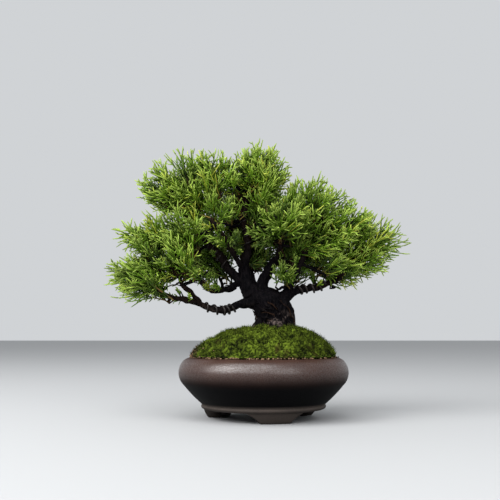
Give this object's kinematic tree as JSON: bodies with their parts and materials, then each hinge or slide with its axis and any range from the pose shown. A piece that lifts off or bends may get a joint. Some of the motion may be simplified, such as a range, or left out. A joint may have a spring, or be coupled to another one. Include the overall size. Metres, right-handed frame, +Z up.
{
  "type": "bonsai tree in a pot",
  "caption": "Small spreading juniper bonsai with wired branches, rooted in a mossy mound in a low round three-footed stoneware pot.",
  "frame": {"origin": "on the pot's axis at the level its feet stand on, which is the centre of the base of the bounding box", "axes": "+Z up, +X to the right of someone facing the tree's front, -Y towards them"},
  "size_m": [0.2123, 0.1207, 0.1989],
  "materials": {
    "clay": "unglazed fired clay with a satin burnish, dark reddish brown, darker low down",
    "soil": "gritty granular bonsai soil, dull brown with tan and orange grains",
    "moss": "soft live moss, green with yellow-green tufts and a few brown patches",
    "bark": "rough flaky dark brown bark, greyer low on the trunk",
    "wire": "dark brown anodised soft wire",
    "netting": "black plastic netting",
    "foliage": "scale-leaf juniper foliage, bright yellow-green tips over dark green"
  },
  "bodies": {
    "root": {"pot": "clay", "drainage_mesh": "netting", "mesh_clip_wire": "wire", "root_tie_wire": "wire", "soil": "soil", "moss": "moss", "trunk_and_branches": "bark", "training_wire_left_low": "wire", "training_wire_right_low": "wire", "training_wire_upper_left": "wire", "training_wire_leader": "wire", "training_wire_second_stem": "wire", "foliage_apex": "foliage", "foliage_upper_left": "foliage", "foliage_left_mid": "foliage", "foliage_left_low": "foliage", "foliage_centre_left": "foliage", "foliage_centre_right": "foliage", "foliage_centre_low": "foliage", "foliage_right_upper": "foliage", "foliage_right_far": "foliage", "foliage_right_low": "foliage", "foliage_back_top": "foliage", "foliage_back_left": "foliage", "foliage_back_right": "foliage"}
  },
  "joints": []
}
